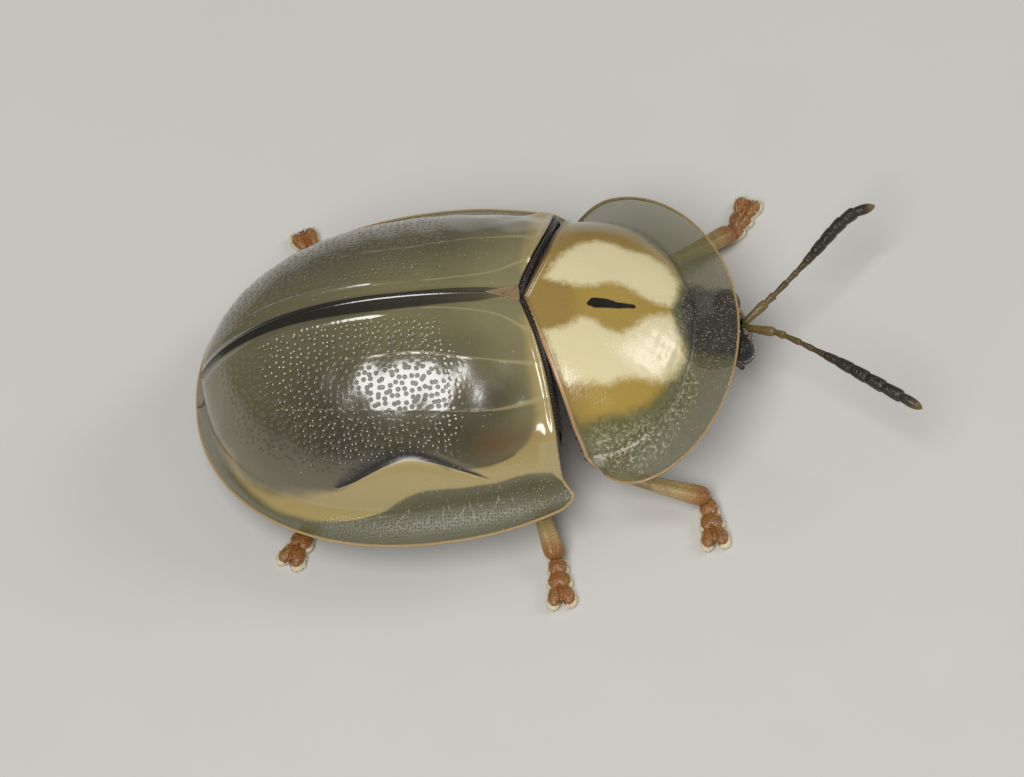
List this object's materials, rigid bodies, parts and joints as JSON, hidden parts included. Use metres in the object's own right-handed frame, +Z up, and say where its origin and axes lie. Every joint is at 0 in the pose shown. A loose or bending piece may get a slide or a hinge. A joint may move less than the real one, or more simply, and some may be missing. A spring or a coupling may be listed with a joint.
{
  "type": "tortoise beetle model",
  "caption": "Life-size tortoise beetle with clear domed wing cases, a broad clear neck shield, spread antennae and lobed feet, standing on a floor.",
  "frame": {"origin": "on the floor under the middle of the model's bounding box", "axes": "+X towards the head, +Y to the beetle's left, +Z up"},
  "size_m": [0.0131, 0.0092, 0.0038],
  "materials": {
    "clear_shell": "glossy horn-like shell, milky and partly see-through",
    "shield_shell": "glossy horn-like shell, ivory with ochre patches and a clear margin",
    "dark_body": "satin dark brown horn",
    "head_horn": "beaded black-brown horn",
    "eye_black": "glossy blue-black facets",
    "antenna_horn": "dark, finely hairy horn with orange-brown first joints",
    "leg_horn": "tan to red-brown horn with pale hairs"
  },
  "bodies": {
    "root": {"elytron_left": "clear_shell", "elytron_right": "clear_shell", "pronotum": "shield_shell", "abdomen": "dark_body", "thorax": "dark_body", "prothorax": "dark_body", "head": "head_horn", "eye_left": "eye_black", "eye_right": "eye_black", "antenna_left": "antenna_horn", "antenna_right": "antenna_horn", "leg_front_left": "leg_horn", "leg_front_right": "leg_horn", "leg_middle_left": "leg_horn", "leg_middle_right": "leg_horn", "leg_hind_left": "leg_horn", "leg_hind_right": "leg_horn"}
  },
  "joints": []
}
